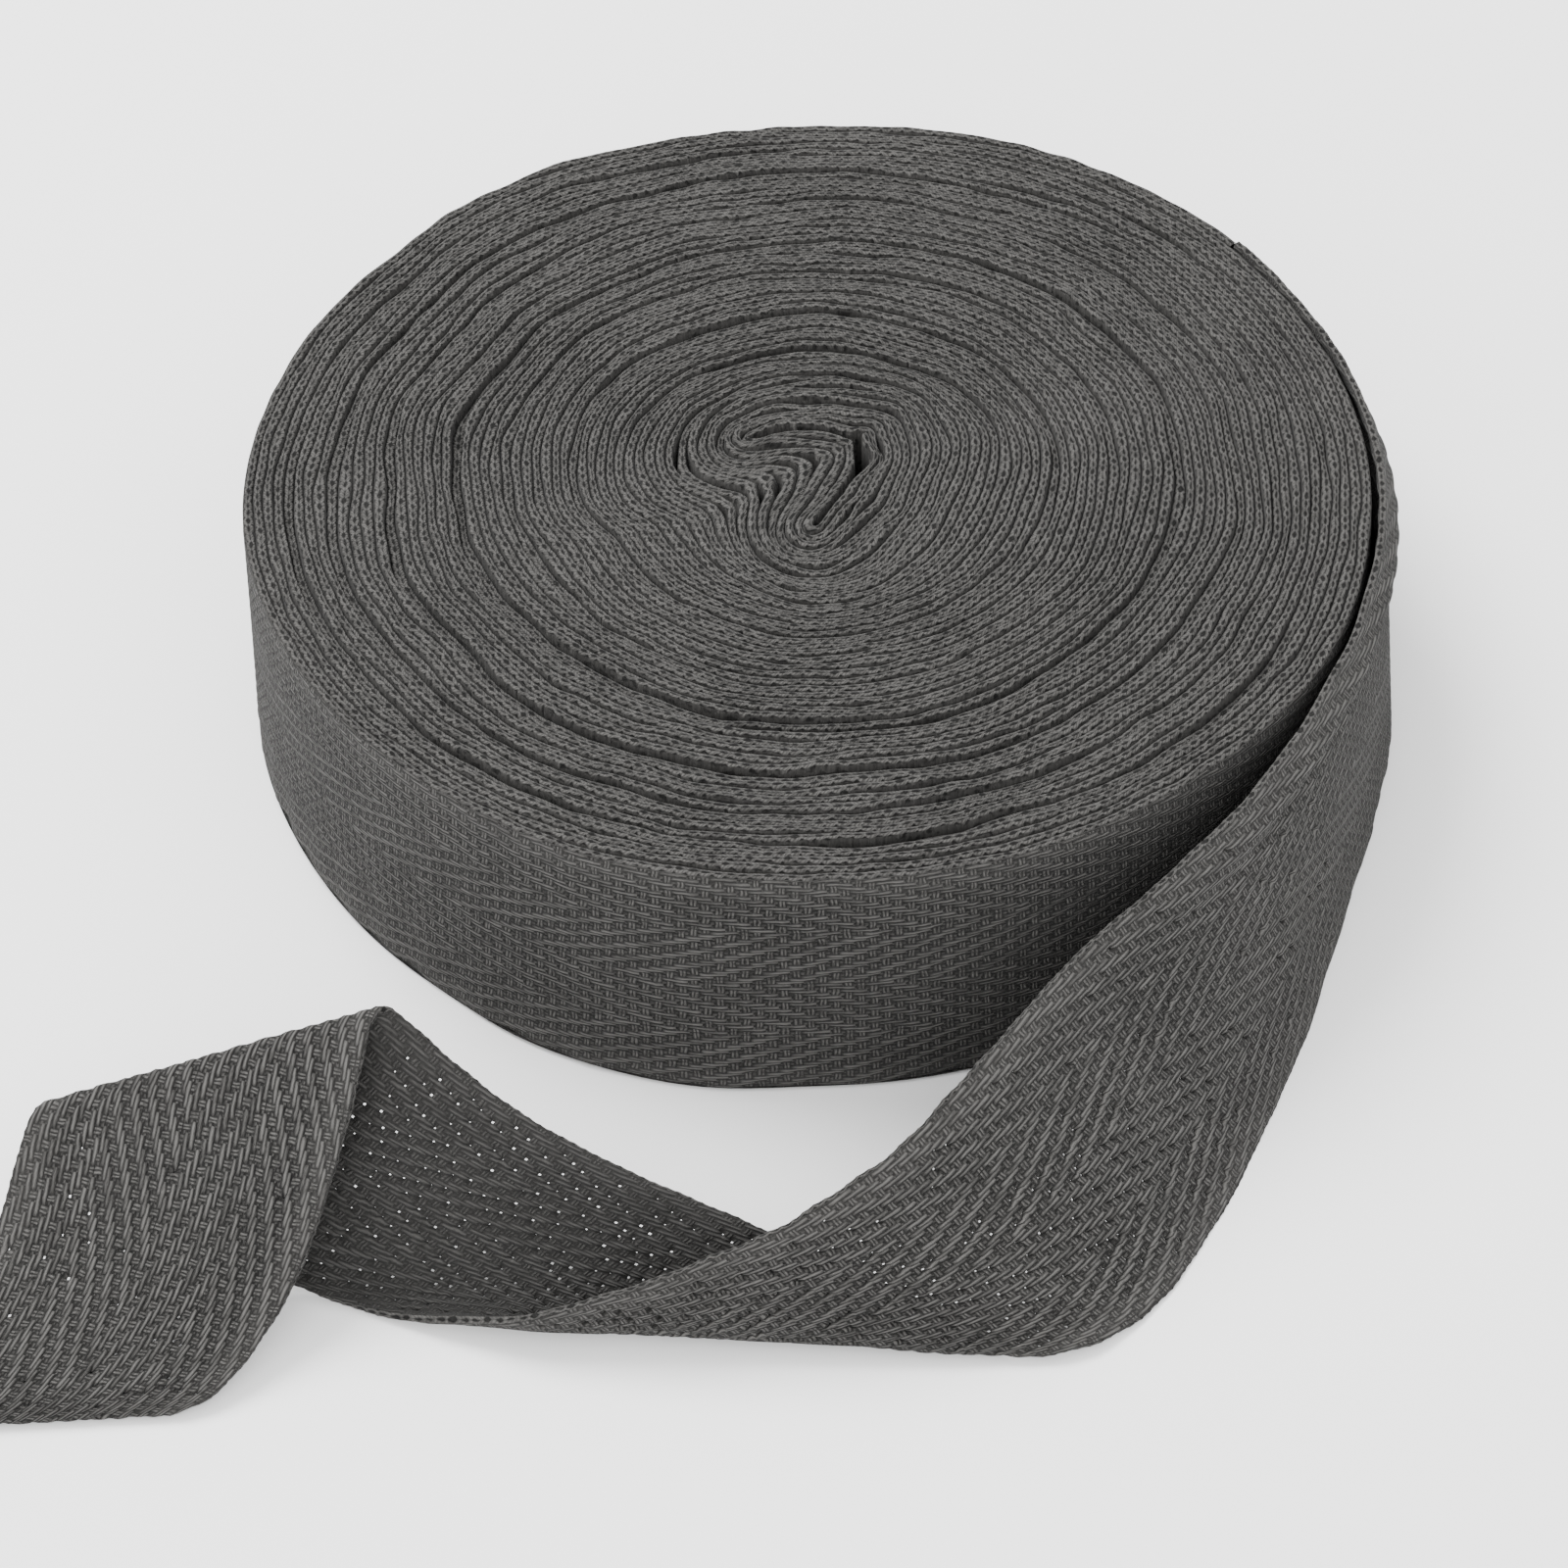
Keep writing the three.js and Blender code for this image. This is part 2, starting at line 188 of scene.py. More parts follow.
# Uneven winding and cloth, along the tape: height, wavelengths and seed
WAVES = {
    "winding": (0.10, (7, 16), 21),
    "top": (0.16, (30, 75), 31),
    "top_fine": (0.08, (5, 9), 32),
    "ropes": (0.22, (11, 19), 33),
    "bottom": (0.12, (30, 75), 41),
    "wall": (0.10, (24, 60), 51),
    "wall_foot": (0.12, (5, 13), 52),
    "cockle": (0.16, (11, 27), 61),
    "selvedge": (0.08, (4, 13), 62),
}

# Loose end, by length from where it leaves the roll. At its far end the selvedges even out in length
ROW_STEPS = 24
EVEN_OUT = 60
HUG_LENGTH = 45
COCKLE_GROWTH = [
    {"share": 0.4, "from": 30, "over": 30},
    {"share": 0.6, "from": 90, "over": 40},
]
RIDGES = [
    {"height": 1.0, "at": 0.11, "width": 0.055},
    {"height": -0.4, "at": 0.20, "width": 0.03},
]
RIDGE_RUN = {"from": 8, "over": 24, "to": 105, "fade": 40}
BESIDE_ROLL = {"to": 90, "fade": 30}
SELVEDGE_SHARE = 0.75
SELVEDGE_LINES = (-0.42, 0.42)
SELVEDGE_BULGE = 0.17
SELVEDGE_SCALLOP = 0.04
SELVEDGE_HEIGHT = 1.6
LOWEST = 0.02
# Share of the weave's corners that let light through, by length along the tape and place across it
PINHOLE_MARGIN = {"rows": 6, "ends": 3}
PINHOLES = [
    {"from": 0, "to": 70, "beyond": 0, "share": 0.004},
    {"from": 95, "to": 130, "beyond": 0.35, "share": 0.40},
    {"from": 130, "to": 185, "beyond": 0, "share": 0.50},
]
# At the fold there are hardly any, and it lies slanting across the tape
FOLD = {"from": 185, "to": 206, "slant": 16, "share": 0.004}
PAST_FOLD = {"to": 245, "beyond": 0.15, "share": 0.22}
OTHER_PINHOLES = 0.08
PINHOLE_PHASE = (1.7, 2.1)
PINHOLE_PULL = (0.30, 0.78)
PINHOLE_RISE = 0.12

# Camera, for a square picture
CAMERA_FROM = 459.2
CAMERA_ELEVATION = 43.70
CAMERA_PITCH = 1.30
CAMERA_YAW = -0.66
CAMERA_ROLL = -1.87
CAMERA_LENS = 112.5
SENSOR = 36.0

# Lights, in metres and watts, and the floor
LIGHTS = [
    {"name": "key", "place": (-0.35, 0.30, 0.75), "size": 0.55, "power": 13.0},
    {"name": "front", "place": (-0.25, -0.80, 0.50), "size": 0.8, "power": 6.0},
    {"name": "side", "place": (0.45, -0.70, 0.75), "size": 0.8, "power": 3.2},
]
SKY_STRENGTH = 1.85
FLOOR_HALF = 3.0
FLOOR_GREYS = (0.90, 0.92)
FLOOR_ROUGHNESS = 0.9
FLOOR_BUMP = 0.00002
FLOOR_BUMP_STRENGTH = 0.3

# Cloth
DARK_YARN = (0.0045, 0.0044, 0.0042)
LIGHT_YARN = (0.096, 0.0933, 0.0890)
EDGE_YARN = (0.074, 0.0719, 0.0686)
CLOTH_ROUGHNESS = 0.92
CLOTH_SPECULAR = 0.12
CLOTH_SHEEN = 0.035
SHEEN_ROUGHNESS = 0.45
FACE_BUMP = 0.00026
EDGE_BUMP = 0.00022
WINDOW_HALF_PICK = 0.33
WINDOW_HALF_SPAN = 0.85
STRAND_SPACING = 0.29
FLOAT_SLANT = 0.30
LINT_SCALE = 2600.0
LINT_FROM = (0.66, 0.78)
LINT_SHARE = 0.2
FACE_LIFT = 0.085
EDGE_LIFT = 0.06
TONE_POWER = 1.25
SELVEDGE_ZONE = (3.0, 8.0)
SELVEDGE_LIGHTER = 0.10
# Painted shade on the back: its colour is squeezed darker and flatter than the face's
BACK_SHADE_CONTRAST = 0.42
BACK_SHADE_LIFT = 0.09
BACK_FROM = BACK_ENDS - 10.0

rng = np.random.default_rng(7)


# Camera


def add_camera():
    up_angle = math.radians(CAMERA_ELEVATION)
    tilt = math.radians(CAMERA_ELEVATION + CAMERA_PITCH)
    yaw = math.radians(CAMERA_YAW)
    roll = math.radians(CAMERA_ROLL)
    place = np.array([0.0, -math.cos(up_angle), math.sin(up_angle)]) * CAMERA_FROM * MM
    ahead = np.array([math.sin(yaw) * math.cos(tilt), math.cos(yaw) * math.cos(tilt), -math.sin(tilt)])
    right = np.cross(ahead, [0.0, 0.0, 1.0])
    right /= np.linalg.norm(right)
    up = np.cross(right, ahead)
    right, up = math.cos(roll) * right + math.sin(roll) * up, math.cos(roll) * up - math.sin(roll) * right
    data = bpy.data.cameras.new("camera")
    data.lens = CAMERA_LENS
    data.sensor_width = SENSOR
    data.clip_start = 0.01
    camera = bpy.data.objects.new("camera", data)
    bpy.context.collection.objects.link(camera)
    rows = [[right[i], up[i], -ahead[i], place[i]] for i in range(3)]
    camera.matrix_world = Matrix(rows + [[0.0, 0.0, 0.0, 1.0]])
    bpy.context.scene.camera = camera


# Meshes


def make_piece(name, points, groups, materials):
    """points in millimetres. groups is [(quads, uv of each point, material number)]."""
    mesh = bpy.data.meshes.new(name)
    quads = np.concatenate([g[0] for g in groups]).astype(np.int32)
    uv = np.concatenate([g[1][g[0]].reshape(-1, 2) for g in groups]).astype(np.float32)
    slots = np.concatenate([np.full(len(g[0]), g[2]) for g in groups]).astype(np.int32)
    mesh.vertices.add(len(points))
    mesh.vertices.foreach_set("co", (np.asarray(points) * MM).astype(np.float32).ravel())
    mesh.loops.add(quads.size)
    mesh.loops.foreach_set("vertex_index", quads.ravel())
    mesh.polygons.add(len(quads))
    mesh.polygons.foreach_set("loop_start", np.arange(0, quads.size, 4, dtype=np.int32))
    mesh.polygons.foreach_set("loop_total", np.full(len(quads), 4, dtype=np.int32))
    mesh.polygons.foreach_set("material_index", slots)
    mesh.polygons.foreach_set("use_smooth", np.ones(len(quads), dtype=bool))
    layer = mesh.uv_layers.new(name="Cloth")
    layer.data.foreach_set("uv", uv.ravel())
    mesh.update(calc_edges=True)
    mesh.validate()
    for material in materials:
        mesh.materials.append(material)
    piece = bpy.data.objects.new(name, mesh)
    bpy.context.collection.objects.link(piece)
    return piece


def grid_quads(rows, columns, first=0, flip=False):
    """Quads of a grid of points that is numbered row by row."""
    r, c = np.meshgrid(np.arange(rows - 1), np.arange(columns - 1), indexing="ij")
    a = first + (r * columns + c).ravel()
    quads = np.stack([a, a + 1, a + columns + 1, a + columns], 1)
    return quads[:, ::-1] if flip else quads


def smooth_noise(x, wavelengths, seed):
    """A sum of waves along x, about one high."""
    random = np.random.default_rng(seed)
    total = np.zeros_like(x)
    for wavelength in wavelengths:
        for _ in range(3):
            length = wavelength * random.uniform(0.75, 1.35)
            total += np.sin(2 * np.pi * x / length + random.uniform(0, 2 * np.pi))
    return total / math.sqrt(1.5 * len(wavelengths)) / 1.4


def waves(x, name):
    height, wavelengths, seed = WAVES[name]
    return height * smooth_noise(x, wavelengths, seed)


def plane_noise(p, wavelength, seed):
    """A sum of waves that cross a plane in random directions, about one high."""
    random = np.random.default_rng(seed)
    total = np.zeros(p.shape[:-1])
    for _ in range(7):
        angle = random.uniform(0, 2 * np.pi)
        k = 2 * np.pi / (wavelength * random.uniform(0.7, 1.5))
        along = p[..., 0] * math.cos(angle) + p[..., 1] * math.sin(angle)
        total += np.sin(k * along + random.uniform(0, 2 * np.pi))
    return total / math.sqrt(3.5) / 1.4


def ease(x):
    x = np.clip(x, 0, 1)
    return x * x * (3 - 2 * x)


def angle_between(angle, at):
    """Degrees between two directions, 180 at most."""
    return np.abs(np.mod(angle - at + 180, 360) - 180)


# Twill: where an end lies over the picks


def twill_phase(pick, end):
    """Under 2 where the end lies over the picks, and from 2 to 4 where the picks lie over it."""
    fold = np.mod(end, 2 * BAND_ENDS)
    zigzag = np.where(fold > BAND_ENDS, 2 * BAND_ENDS - fold, fold)
    return np.mod(pick + zigzag, 4)


def twill_relief(pick, end):
    q = twill_phase(pick, end)
    float_dome = 1 - (q - 1) ** 2
    window_dome = 1 - (q - 3) ** 2
    rise = WARP_RISE * (FLAT_SHARE + DOME_SHARE * float_dome)
    dip = -WEFT_DIP * (FLAT_SHARE + DOME_SHARE * window_dome)
    return np.where(q < 2, rise, dip)


# The wound turns, which follow the level lines between the pinched centre and the wall


def pinch_distance(p):
    a = PINCH_LINE[:-1]
    along = PINCH_LINE[1:] - a
    share = ((p[..., None, :] - a) * along).sum(-1) / (along**2).sum(-1)
    near = a + np.clip(share, 0, 1)[..., None] * along
    d = np.maximum(np.linalg.norm(p[..., None, :] - near, axis=-1), 1e-3)
    return (d**-PINCH_ROUNDING).sum(-1) ** (-1 / PINCH_ROUNDING)


def level(p):
    """Nought at the pinch line and one at the wall."""
    inside = pinch_distance(p)
    return inside / (inside + np.maximum(WALL_RADIUS - np.linalg.norm(p, axis=-1), 0))


def level_slope(p):
    h = 1e-3
    sides = np.stack([p + [h, 0], p - [h, 0], p + [0, h], p - [0, h]])
    v = level(sides)
    return np.stack([v[0] - v[1], v[2] - v[3]], -1) / (2 * h)


def lengths(line):
    return np.concatenate([[0], np.cumsum(np.linalg.norm(np.diff(line, axis=0), axis=1))])


def even_steps(points, count):
    """Closed line set out in equal steps. The last point repeats the first."""
    reach = lengths(points)
    want = np.linspace(0, reach[-1], count + 1)
    return np.stack([np.interp(want, reach, points[:, i]) for i in range(2)], 1)


def trace_turns(starts):
    """Walks the level line through each start clockwise until it is home."""
    wanted = level(starts)
    p = starts.copy()
    walked = [p.copy()]
    length = np.zeros(len(starts), dtype=int)
    for step in range(MOST_WALK):
        slope = level_slope(p)
        size = np.linalg.norm(slope, axis=1, keepdims=True)
        p = p + WALK_STEP * np.stack([slope[:, 1], -slope[:, 0]], 1) / size
        for _ in range(2):
            s = level_slope(p)
            off = (level(p) - wanted) / (s**2).sum(1)
            p = p - off[:, None] * s
        walked.append(p.copy())
        home = np.linalg.norm(p - starts, axis=1)
        length[(length == 0) & (step > LEAST_WALK) & (home < WALK_STEP)] = step
        if (length > 0).all():
            break
    walked = np.stack(walked)
    closed = [np.vstack([walked[: length[k] + 1, k], starts[k]]) for k in range(len(starts))]
    return [even_steps(line, AROUND) for line in closed]


def circle(radius):
    angle = np.radians(STEP_ANGLE - np.linspace(0, 360, AROUND + 1))
    return np.stack([radius * np.cos(angle), radius * np.sin(angle)], 1)


def disturb(p):
    """Presses the turns a little out of their lines: kinks at the left, and an uneven winding."""
    r = np.linalg.norm(p, axis=-1)
    angle = np.degrees(np.arctan2(p[..., 1], p[..., 0]))
    off = angle_between(angle, KINK["at"])
    near = np.exp(-(((r - KINK["radius"]) / KINK["width"]) ** 2))
    inwards = KINK["depth"] * near * np.exp(-((off / KINK["reach"]) ** 2))
    free = ease((WALL_RADIUS - r) / SHIFT["wall_fade"]) * ease(r / SHIFT["centre_fade"])
    moved = p - (inwards * free / np.maximum(r, 1))[..., None] * p
    shift = np.stack([plane_noise(p, SHIFT["wavelength"], seed) for seed in (11, 12)], -1)
    return moved + SHIFT["most"] * free[..., None] * shift


def spread(points):
    """Lets the outer turns stand out a little, more so at the floor."""
    x, y, z = points[..., 0], points[..., 1], points[..., 2]
    r = np.hypot(x, y)
    angle = np.degrees(np.arctan2(y, x))
    low = np.clip(1 - z / TAPE_WIDTH, 0, 1)
    start = SPREAD_FROM["top"] * (1 - low) + SPREAD_FROM["bottom"] * low
    out = np.zeros_like(r)
    for bulge in WALL_SPREAD:
        off = angle_between(angle, bulge["at"])
        most = bulge["top"] * (1 - low) + bulge["bottom"] * low
        out += most * np.exp(-((off / bulge["reach"]) ** 4))
    out *= ease((r - start) / (WALL_RADIUS - start)) / np.maximum(r, 1)
    return np.stack([x * (1 + out), y * (1 + out), z], -1)


def lean(p):
    """Moves the crushed centre within the roll."""
    fade = np.exp(-((np.linalg.norm(p, axis=-1) / LEAN["reach"]) ** 4))
    across = LEAN["x"] + LEAN["x_by_y"] * p[..., 1]
    back = LEAN["y"] + LEAN["y_by_x"] * p[..., 0] + LEAN["y_by_y"] * p[..., 1]
    return p + fade[..., None] * np.stack([across, back], -1)


class Winding:
    """Boundary lines, length and heights along the spiral, by turn number."""

    def __init__(self):
        angle = math.radians(STEP_ANGLE)
        end = WALL_RADIUS * np.array([math.cos(angle), math.sin(angle)])
        ray = np.linalg.norm(end - RAY_START)
        at = FIRST_TURN + (ray - FIRST_TURN) * np.arange(TURNS) / TURNS
        starts = RAY_START + (at / ray)[:, None] * (end - RAY_START)
        rings = trace_turns(starts) + [circle(WALL_RADIUS), circle(WALL_RADIUS + TURN_PITCH)]
        share = (np.arange(AROUND) / AROUND)[:, None]
        # The first turns lie tight and step over the tape's start late, the others climb evenly
        lines = []
        for k in range(TURNS + 1):
            even = min(k / SETTLED_TURNS, 1)
            climb = even * share + (1 - even) * ease((share - 1 + STEP_SHARE) / STEP_SHARE)
            lines.append((1 - climb) * rings[k][:-1] + climb * rings[k + 1][:-1])
        lines.append(rings[TURNS + 1][:1])
        self.line = lean(np.concatenate(lines))
        last = lean(np.concatenate([lines[-2], lines[-1]]))
        self.turn = np.arange(len(self.line)) / AROUND
        middle = (self.line[:-AROUND] + self.line[AROUND:]) / 2
        self.reach = lengths(middle)
        self.length = self.reach[-1]
        wobble = waves(self.reach, "winding")
        normal = self.line[AROUND:] - self.line[:-AROUND]
        normal /= np.linalg.norm(normal, axis=1, keepdims=True)
        self.line[: len(middle)] += wobble[:, None] * normal
        self.line[-AROUND - 1 :] = last
        ray_at = FIRST_TURN + (ray - FIRST_TURN) * (self.turn[: len(middle)] + 0.5) / TURNS
        self.top = self.heights(middle, ray_at)

    def heights(self, p, ray_at):
        angle = np.degrees(np.arctan2(p[:, 1], p[:, 0]))
        z = TAPE_WIDTH - CENTRE_SINK * np.exp(-((pinch_distance(p) / CENTRE_SINK_REACH) ** 2))
        for groove in GROOVES:
            off = angle_between(angle, groove["middle"])
            deep = GROOVE_FLOOR + (1 - GROOVE_FLOOR) * np.exp(-((off / groove["spread"]) ** 2))
            near = np.exp(-(((ray_at - groove["at"]) / GROOVE_REACH) ** 4))
            z -= GROOVE_SHARE * groove["depth"] * deep * near
        uneven = waves(self.reach, "top") + waves(self.reach, "top_fine")
        ropes = waves(self.reach, "ropes") * np.exp(-((ray_at / ROPES_REACH) ** 2))
        return z - TOP_DROP + uneven + ropes

    def at(self, values, turn):
        return np.interp(turn, self.turn[: len(values)], values)

    def place(self, turn):
        return np.stack([np.interp(turn, self.turn, self.line[:, i]) for i in range(2)], 1)

    def turn_at(self, reach):
        return np.interp(reach, self.reach, self.turn[: len(self.reach)])


def open_gaps(winding, xy, turn, f, outwards):
    """Pushes the turns apart at the hole and the crescents, and sinks the line between them."""
    number = turn[:, None] + (1 + f) / 2
    outwards = outwards / np.linalg.norm(outwards, axis=1, keepdims=True)
    push = np.zeros(f.shape)
    sunk = np.zeros(f.shape)
    off = xy - np.array([SLIT_HOLE["x"], SLIT_HOLE["y"]])
    near = np.exp(-(off**2).sum(-1) / SLIT_HOLE["reach"] ** 2)
    to_right = 1 + SLIT_HOLE["right"] * outwards[:, None, 0]
    push += SLIT_HOLE["opening"] * to_right * near * np.exp(-number * TURN_PITCH / SLIT_HOLE["fade"])
    for gap in CRESCENTS:
        centre = np.array([gap["x"], gap["y"]])
        nearest = np.argmin(np.linalg.norm(winding.line - centre, axis=1))
        line_turn = winding.turn[nearest]
        along_turn = np.mod(turn - line_turn + 0.5, 1) - 0.5
        away = (number - line_turn - along_turn[:, None]) * TURN_PITCH
        off = ((xy - winding.line[nearest]) ** 2).sum(-1)
        near = np.exp(-np.maximum(off - away**2, 0) / gap["reach"] ** 2) * (off < CRESCENT_LIMIT**2)
        fade = np.exp(-np.abs(away) / CRESCENT_FADE)
        push += gap["opening"] * near * fade * np.tanh(away / CRESCENT_LINE)
        sunk += CRESCENT_DEPTH * near * np.exp(-((away / CRESCENT_WIDTH) ** 2))
    return xy + push[..., None] * outwards[:, None], sunk


def top_heights(winding, turn, cross, drop, hole):
    own = winding.at(winding.top, turn)
    before = np.where(turn >= 1, winding.at(winding.top, np.maximum(turn - 1, 0)), own - SLIT_DEPTH)
    after = np.where(turn < TURNS - 1, winding.at(winding.top, np.minimum(turn + 1, TURNS - 1e-6)), own)
    z = own[:, None] - drop
    z[:, cross == 0] -= STITCH_HOLE * hole[:, None]
    z[:, np.abs(cross) == STITCH_LEG] += LEG_RISE * hole[:, None]
    z[:, 0] = np.minimum(own, before) - GAP_DEPTH
    z[:, -1] = np.minimum(own, after) - np.where(turn < TURNS - 1, GAP_DEPTH, RIM_DROP)
    return z


def bottom_height(reach):
    return np.maximum(BOTTOM_LIFT + waves(reach, "bottom"), 0.0)


def bottom_heights(reach, turn, drop):
    own = bottom_height(reach)
    z = own[:, None] + drop
    z[:, 0] = own + GAP_DEPTH
    z[:, -1] = own + np.where(turn < TURNS - 1, GAP_DEPTH, RIM_DROP)
    return z


def edge_points(winding, reach, cross, drop, top):
    """Points of the tape's rounded, stitched edge at each reach along the spiral."""
    turn = winding.turn_at(reach)
    inner = winding.place(turn)
    outer = winding.place(turn + 1)
    phase = reach / PICK
    hole = 0.5 - 0.5 * np.cos(2 * np.pi * phase)
    f = np.tile(cross, (len(reach), 1))
    shoulder = (np.abs(cross) > SHOULDERS[0]) & (np.abs(cross) < SHOULDERS[1])
    f = f + np.where(shoulder, SHOULDER_SCALLOP * np.sign(cross), 0) * (2 * hole[:, None] - 1)
    xy = inner[:, None] + (outer - inner)[:, None] * ((1 + f) / 2)[..., None]
    if top:
        xy, sunk = open_gaps(winding, xy, turn, f, outer - inner)
        z = top_heights(winding, turn, cross, drop, hole) - sunk
    else:
        z = bottom_heights(reach, turn, drop)
    xy = disturb(xy)
    uv = np.stack([np.repeat(phase[:, None], len(cross), 1), np.tile(cross, (len(reach), 1))], -1)
    return spread(np.concatenate([xy, z[..., None]], -1)).reshape(-1, 3), uv.reshape(-1, 2)


def add_turn_edges(winding, materials):
    pieces = []
    step = PICK / EDGE_STEPS
    samples = np.arange(0, winding.length, step)
    parts = np.array_split(np.arange(len(samples)), 3)
    for name, part in zip(("turns_inner", "turns_middle", "turns_outer"), parts):
        last = min(part[-1] + 1, len(samples) - 1)
        reach = samples[part[0] : last + 1]
        if part[-1] == len(samples) - 1:
            reach = np.append(reach, winding.length)
        points, uv = edge_points(winding, reach, CROSS, CROSS_DROP, True)
        quads = grid_quads(len(reach), len(CROSS))
        pieces.append(make_piece(name, points, [(quads, uv, 0)], materials))
    reach = np.append(np.arange(0, winding.length, PICK / BOTTOM_STEPS), winding.length)
    points, uv = edge_points(winding, reach, BOTTOM_CROSS, BOTTOM_DROP, False)
    quads = grid_quads(len(reach), len(BOTTOM_CROSS), flip=True)
    pieces.append(make_piece("turns_bottom", points, [(quads, uv, 0)], materials))
    return pieces


def add_wall(winding, materials):
    """The outermost turn's face, woven, from the top edge to the bottom one."""
    start = winding.at(winding.reach, TURNS - 1)
    reach = np.append(np.arange(start, winding.length, PICK / PICK_STEPS), winding.length)
    turn = winding.turn_at(reach)
    outer = winding.place(turn + 1)
    top = winding.at(winding.top, turn) - RIM_DROP
    bottom = bottom_height(reach) + RIM_DROP
    v = np.linspace(0, 1, ENDS + 1)
    z = top[:, None] + (bottom - top)[:, None] * v
    ends = v * ENDS
    pick = reach[:, None] / PICK
    relief = twill_relief(pick, ends[None, :]) + waves(reach, "wall")[:, None] * np.sin(np.pi * v)
    relief[:, [0, -1]] = -WALL_EDGE_DROP
    relief[:, [1, -2]] -= NEXT_END_DROP
    relief += waves(reach, "wall_foot")[:, None] * v**3
    radial = outer / np.linalg.norm(outer, axis=1, keepdims=True)
    xy = outer[:, None] + radial[:, None] * relief[..., None]
    points = spread(np.concatenate([xy, z[..., None]], -1)).reshape(-1, 3)
    uv = np.stack(np.broadcast_arrays(pick, ends[None, :]), -1).reshape(-1, 2)
    return make_piece("roll_wall", points, [(grid_quads(len(reach), ENDS + 1), uv, 0)], materials)


# Loose end


def pull_weights(t):
    """How much each of four rows in turn pulls on a smooth line, at share t past the second."""
    second = 3 * t**3 - 6 * t**2 + 4
    third = -3 * t**3 + 3 * t**2 + 3 * t + 1
    return np.stack([(1 - t) ** 3, second, third, t**3], -1) / 6


def smooth_rows(rows, steps):
    held = np.vstack([rows, 2 * rows[-1] - rows[-2]])
    t = np.arange(steps) / steps
    spans = [pull_weights(t) @ held[i : i + 4] for i in range(len(held) - 3)]
    spans.append(pull_weights(np.array([1.0])) @ held[-4:])
    return np.vstack(spans)


def wrap_rows(z):
    """Rows before the loose end's own, which hold it to the roll."""
    step = math.radians(WRAP_ANGLES[0] - WRAP_ANGLES[1])
    outwards = 3 * WRAP_RADIUS / (2 + math.cos(step))
    angle = np.radians(WRAP_ANGLES)
    return np.stack([outwards * np.cos(angle), outwards * np.sin(angle), np.full(len(angle), z)], 1)


def loose_end_lines():
    rows = np.array(LOOSE_END)
    upper = smooth_rows(np.vstack([wrap_rows(TAPE_WIDTH), rows[:, :3]]), ROW_STEPS)
    lower = smooth_rows(np.vstack([wrap_rows(0), rows[:, 3:]]), ROW_STEPS)
    return upper, lower


def tape_grid(v):
    """Rows along the tape: each row's length, each point's own length, and the middle surface."""
    upper, lower = loose_end_lines()
    upper_reach, lower_reach = lengths(upper), lengths(lower)
    step = PICK / PICK_STEPS
    shortest = min(upper_reach[-1], lower_reach[-1])
    columns = int(shortest / step)
    base = np.arange(columns + 1) * shortest / columns
    ramp = ease((base - base[-1] + EVEN_OUT) / EVEN_OUT)
    reach = np.zeros((len(base), len(v)))
    centre = np.zeros((len(base), len(v), 3))
    for j, share in enumerate(v):
        along = upper_reach * (1 - share) + lower_reach * share
        reach[:, j] = base + ramp * (along[-1] - shortest)
        t = np.interp(reach[:, j], along, np.arange(len(along)))
        k = np.minimum(t.astype(int), len(along) - 2)
        part = (t - k)[:, None]
        up = upper[k] * (1 - part) + upper[k + 1] * part
        low = lower[k] * (1 - part) + lower[k + 1] * part
        centre[:, j] = up * (1 - share) + low * share
    return base, reach, centre


def shape_tape(base, v, centre):
    """Lays the middle surface beside the roll and gives it waves and a ridge."""
    along = np.gradient(centre, axis=0)
    across = np.gradient(centre, axis=1)
    normal = np.cross(along, across)
    normal /= np.linalg.norm(normal, axis=-1, keepdims=True)
    across /= np.linalg.norm(across, axis=-1, keepdims=True)
    # The tape leaves the roll flush with the last turn
    hug = GAP * (1 - ease(base / HUG_LENGTH))[:, None, None]
    growth = sum(part["share"] * ease((base - part["from"]) / part["over"]) for part in COCKLE_GROWTH)
    rise = waves(base, "cockle")[:, None] * np.cos(np.pi * v) ** 2 * growth[:, None]
    # Its upper selvedge is turned in, which leaves a low ridge beside it
    ridge = sum(part["height"] * np.exp(-(((v - part["at"]) / part["width"]) ** 2)) for part in RIDGES)
    run = ease((base - RIDGE_RUN["from"]) / RIDGE_RUN["over"])
    run = run * ease((RIDGE_RUN["to"] - base) / RIDGE_RUN["fade"])
    rise += run[:, None] * ridge
    centre = centre - hug * normal + rise[..., None] * normal
    # Beside the roll it follows the wall's own shape
    beside = ease((BESIDE_ROLL["to"] - base) / BESIDE_ROLL["fade"])[:, None, None]
    centre = centre + beside * (spread(centre) - centre)
    return centre, normal, across


def pinhole_share(s, v):
    """How likely a corner of the weave is a pinhole, s along the tape and v across it."""
    past_fold = FOLD["to"] + FOLD["slant"] * v
    if FOLD["from"] < s < past_fold:
        return FOLD["share"]
    if past_fold < s < PAST_FOLD["to"] and v > PAST_FOLD["beyond"]:
        return PAST_FOLD["share"]
    for part in PINHOLES:
        if part["from"] < s < part["to"] and v > part["beyond"]:
            return part["share"]
    return OTHER_PINHOLES


def pick_pinholes(reach, v, pick, ends):
    """Cells where light comes through, at the corners of the weave's windows."""
    chosen = []
    taken = set()
    rows = len(reach)
    for m in range(PINHOLE_MARGIN["rows"], rows - PINHOLE_MARGIN["rows"]):
        for j in range(PINHOLE_MARGIN["ends"], ENDS - PINHOLE_MARGIN["ends"]):
            q = float(twill_phase(pick[m, j], ends[0, j]))
            if not PINHOLE_PHASE[0] < q < PINHOLE_PHASE[1]:
                continue
            dense = pinhole_share(reach[m, j], v[j])
            around = [(m + a, j + b) for a in range(-2, 3) for b in (-1, 0, 1)]
            if rng.random() < dense and not any(cell in taken for cell in around):
                taken.add((m, j))
                chosen.append((m, j))
    return chosen


